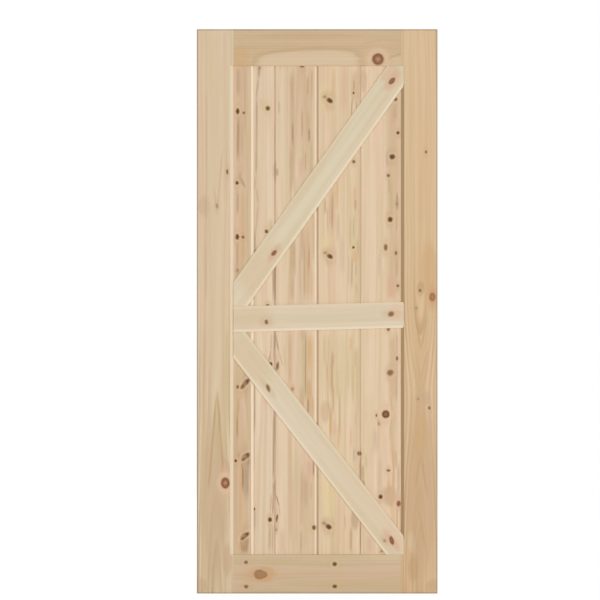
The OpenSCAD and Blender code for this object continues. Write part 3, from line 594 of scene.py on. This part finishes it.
MATERIALS["upper_brace"] = pine(
    "pine_upper_brace", (0.0, 1.541), a, b, srgb(221, 207, 178), srgb(204, 184, 151), 11.0,
    ring=0.0150, pith=(-0.01, 0.045), wander=0.006, contrast=0.18, bevel_highlight_shade=OVERLAY_BEVEL_HIGHLIGHT, fibre=0.06,
    bands=(srgb(207, 187, 152), 0.18, srgb(223, 207, 178), 0.2, 30.0),
    tints=((OLIVE, 0.30, (1.2, 24.0, 24.0)), (PINK, 0.25, (1.2, 26.0, 26.0))),
    patches=((388, 71, 10, 8, SAND, 0.6), (392, 79, 9, 9, PINK, 0.4), (274, 252, 7, 9, BUFF, 0.45), (260, 276, 16, 20, BUFF, 0.6)),
    knots=((392, 81, 4.8, 8.0, "red", -6), (274, 253.0, 4.0, 6.8, "red", -8)))
a, b = lean(-52.15)
MATERIALS["lower_brace"] = pine(
    "pine_lower_brace", (0.0, 0.5605), a, b, srgb(222, 206, 179), srgb(204, 183, 150), 12.0,
    ring=0.0150, pith=(0.01, 0.045), wander=0.006, contrast=0.18, bevel_highlight_shade=OVERLAY_BEVEL_HIGHLIGHT, fibre=0.06,
    bands=(srgb(208, 186, 150), 0.18, srgb(224, 206, 178), 0.2, 30.0),
    tints=((OLIVE, 0.25, (1.2, 24.0, 24.0)), (PINK, 0.25, (1.2, 26.0, 26.0))),
    patches=((393, 538, 9, 11, PINK, 0.40), (252, 357, 20, 26, BUFF, 0.6)),
    knots=((268.1, 387.9, 3.6, 8.2, "brown", -19), (391.7, 540.6, 4.4, 9.0, "red", -21), (384.7, 540.8, 3.0, 3.6, "soft")))


# ---------------------------------------------------------------- boards

def ease(bm, edges, width):
    bmesh.ops.bevel(bm, geom=edges, offset=width, offset_type="OFFSET", segments=3, profile=0.5,
                    affect="EDGES", clamp_overlap=False)


def board(node, inner, outer=0.0):
    """A clean mesh of a CAD board in its place, with its long corners eased; outer is for the door's own corners."""
    bm = bmesh.new()
    bm.from_mesh(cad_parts[node].data)
    bmesh.ops.remove_doubles(bm, verts=bm.verts, dist=2e-6)
    bmesh.ops.dissolve_limit(bm, angle_limit=math.radians(0.4), verts=bm.verts, edges=bm.edges)

    def on_outside(e):
        return all(abs(abs(v.co.y) - 0.0175) < 1e-5 for v in e.verts) and (
            all(abs(abs(v.co.x) - 0.455) < 1e-5 for v in e.verts)
            or all(v.co.z < 1e-5 for v in e.verts) or all(v.co.z > 2.134 - 1e-5 for v in e.verts))

    sharp = [e for e in bm.edges if len(e.link_faces) == 2 and e.calc_length() > 0.03
             and e.calc_face_angle(0.0) > math.radians(35)]
    if outer:
        ease(bm, [e for e in sharp if on_outside(e)], outer)
        sharp = [e for e in bm.edges if len(e.link_faces) == 2 and e.calc_length() > 0.03
                 and e.calc_face_angle(0.0) > math.radians(35)]
    if inner:
        ease(bm, sharp, inner)
    mesh = bpy.data.meshes.new(node + "_board")
    bm.to_mesh(mesh)
    bm.free()
    for p in mesh.polygons:
        p.use_smooth = False
    piece = bpy.data.objects.new(node + "_board", mesh)
    bpy.context.scene.collection.objects.link(piece)
    mesh.materials.append(MATERIALS[node])
    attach(piece, "root")
    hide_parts(node)
    return piece


for n in ("left_stile", "right_stile", "top_rail", "bottom_rail"):
    board(n, 0.0006, 0.0020)
for n in ("plank_1", "plank_2", "plank_3", "plank_4", "plank_5"):
    board(n, 0.0)
for n in ("middle_rail", "upper_brace", "lower_brace"):
    board(n, 0.0005)


# ---------------------------------------------------------------- dowels and screws

def simple_material(name, base, dark, rough, metal, cells):
    t = Tree(name)
    grain = t.noise(t.coord.outputs["Object"], cells, 3.0, 3.0)
    t.put(t.bsdf.inputs["Base Color"], t.mix(t.span(grain, 0.3, 0.7), base, dark))
    t.put(t.bsdf.inputs["Roughness"], t.span(grain, 0.2, 0.8, rough - 0.08, rough + 0.10))
    t.bsdf.inputs["Metallic"].default_value = metal
    return t.mat


def dress(node, material):
    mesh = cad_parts[node].data
    mesh.materials.clear()
    mesh.materials.append(material)


dress("corner_dowels", simple_material("dowel_wood", srgb(200, 164, 120), srgb(170, 132, 92), 0.6, 0.0, (30.0, 400.0, 400.0)))
dress("brace_screws", simple_material("screw_zinc", srgb(226, 204, 146), srgb(200, 172, 108), 0.40, 1.0, (500.0, 500.0, 500.0)))


# ---------------------------------------------------------------- floor, light and camera

def floor():
    s = 5.0
    mesh = bpy.data.meshes.new("floor")
    mesh.from_pydata([(-s, -s, 0.0), (s, -s, 0.0), (s, s, 0.0), (-s, s, 0.0)], [], [(0, 1, 2, 3)])
    obj = bpy.data.objects.new("floor", mesh)
    bpy.context.scene.collection.objects.link(obj)
    mat = bpy.data.materials.new("floor_pale")
    mat.use_nodes = True
    nt = mat.node_tree
    nt.nodes.clear()
    paint = nt.nodes.new("ShaderNodeBsdfDiffuse")
    paint.inputs["Color"].default_value = (0.75, 0.75, 0.75, 1.0)
    glow = nt.nodes.new("ShaderNodeEmission")
    glow.inputs["Strength"].default_value = 1.07
    ray = nt.nodes.new("ShaderNodeLightPath")
    part = nt.nodes.new("ShaderNodeMath")
    part.operation = "MULTIPLY"
    part.inputs[1].default_value = 0.88
    both = nt.nodes.new("ShaderNodeMixShader")
    end = nt.nodes.new("ShaderNodeOutputMaterial")
    nt.links.new(ray.outputs["Is Camera Ray"], part.inputs[0])
    nt.links.new(part.outputs[0], both.inputs[0])
    nt.links.new(paint.outputs[0], both.inputs[1])
    nt.links.new(glow.outputs[0], both.inputs[2])
    nt.links.new(both.outputs[0], end.inputs["Surface"])
    mesh.materials.append(mat)


floor()


def area(name, place, target, size_x, size_y, watts, colour=(1.0, 1.0, 1.0)):
    light = bpy.data.lights.new(name, "AREA")
    light.shape = "RECTANGLE"
    light.size, light.size_y = size_x, size_y
    light.energy = watts
    light.color = colour
    obj = bpy.data.objects.new(name, light)
    bpy.context.scene.collection.objects.link(obj)
    obj.location = place
    obj.rotation_euler = (Vector(target) - Vector(place)).to_track_quat("-Z", "Y").to_euler()
    return obj


area("key", (3.0, -11.0, 2.0), (0.0, 0.0, 1.1), 6.0, 3.0, 566.0)
area("front_fill", (-3.4, -9.0, 1.9), (0.0, 0.0, 1.1), 5.0, 3.4, 190.0)
area("back_fill", (-3.4, 4.6, 3.0), (0.0, 0.0, 1.1), 3.0, 2.4, 190.0)
area("top_fill", (3.6, 2.4, 5.0), (0.2, 0.0, 1.4), 2.4, 2.0, 126.0)

world = bpy.data.worlds.new("studio")
bpy.context.scene.world = world
world.use_nodes = True
wn = world.node_tree
wn.nodes.clear()
seen = wn.nodes.new("ShaderNodeBackground")
seen.inputs["Color"].default_value = (1.0, 1.0, 1.0, 1.0)
seen.inputs["Strength"].default_value = 1.0
fill = wn.nodes.new("ShaderNodeBackground")
fill.inputs["Color"].default_value = (1.0, 1.0, 1.0, 1.0)
fill.inputs["Strength"].default_value = 0.32
path = wn.nodes.new("ShaderNodeLightPath")
both = wn.nodes.new("ShaderNodeMixShader")
end = wn.nodes.new("ShaderNodeOutputWorld")
wn.links.new(path.outputs["Is Camera Ray"], both.inputs[0])
wn.links.new(fill.outputs[0], both.inputs[1])
wn.links.new(seen.outputs[0], both.inputs[2])
wn.links.new(both.outputs[0], end.inputs["Surface"])

scene = bpy.context.scene
scene.view_settings.view_transform = "Standard"
scene.view_settings.look = "None"
scene.view_settings.exposure = 0.0
scene.view_settings.gamma = 1.0

# Straight on from the front, from far enough that the picture is nearly without perspective.
far = 10.0
cam = bpy.data.cameras.new("camera")
cam.sensor_width = 36.0
cam.lens = 36.0 * (far - 0.0175) / (600 * PX)
cam.clip_end = 100.0
camera = bpy.data.objects.new("camera", cam)
scene.collection.objects.link(camera)
camera.location = ((300 - 317.2) * PX, -far, (593.53 - 300) * PX)
camera.rotation_euler = (math.radians(90), 0.0, 0.0)
scene.camera = camera
